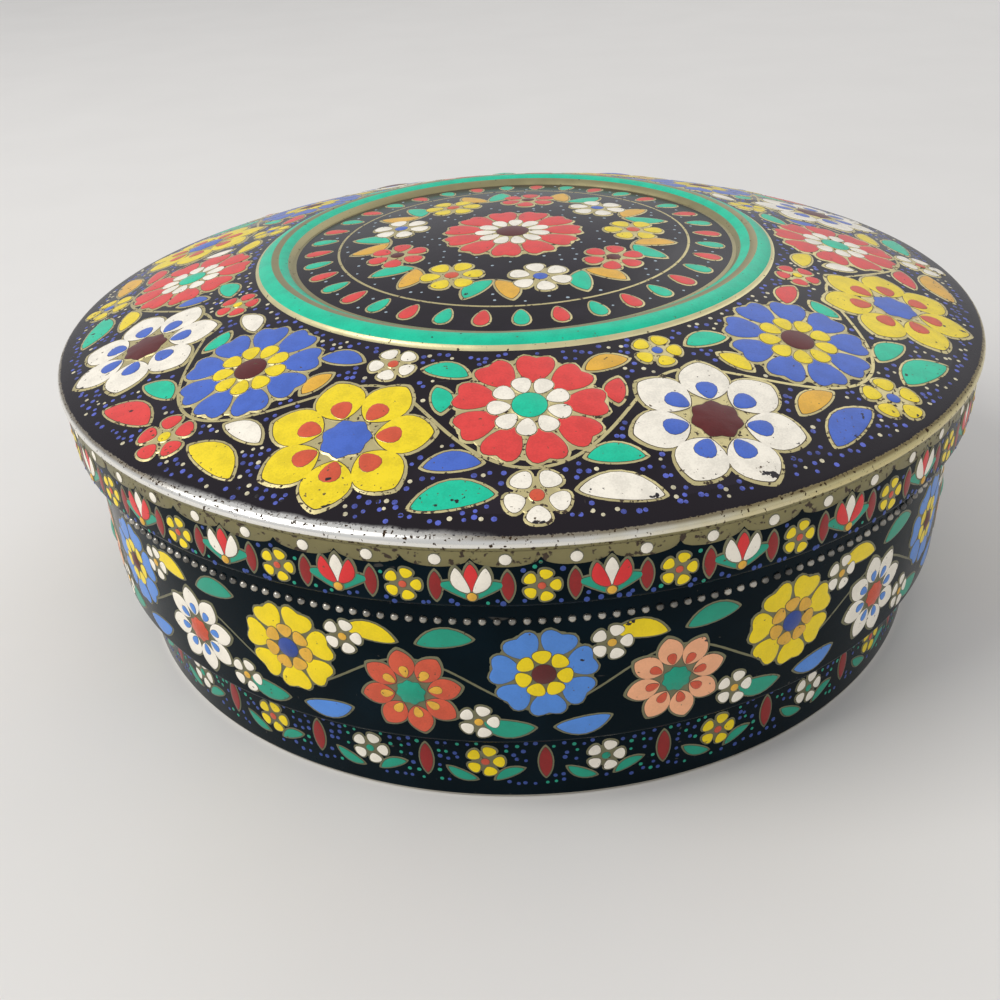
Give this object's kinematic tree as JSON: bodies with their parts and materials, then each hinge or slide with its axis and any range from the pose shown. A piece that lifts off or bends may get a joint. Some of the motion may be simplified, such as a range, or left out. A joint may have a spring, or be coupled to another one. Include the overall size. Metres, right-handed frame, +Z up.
{
  "type": "lidded metal tin",
  "caption": "Round printed tinplate box with a domed slip lid, a pressed bead row under the lid and a set-in foot band; the lid lifts straight off.",
  "frame": {"origin": "on the tin's axis, at the table that it stands on", "axes": "+Z up along the axis, +Y towards the side seam at the back"},
  "size_m": [0.2, 0.2, 0.0786],
  "materials": {
    "lid_print": "gloss printed tinplate",
    "wall_print": "gloss printed tinplate",
    "bare_tin": "bare tinplate"
  },
  "bodies": {
    "tin": {"wall": "wall_print", "base": "bare_tin"},
    "lid": {"lid": "lid_print"}
  },
  "joints": [
    {"name": "lid_lift", "type": "slide", "parent": "tin", "child": "lid", "axis": [0, 0, 1], "range_m": [0, 0.08]}
  ]
}
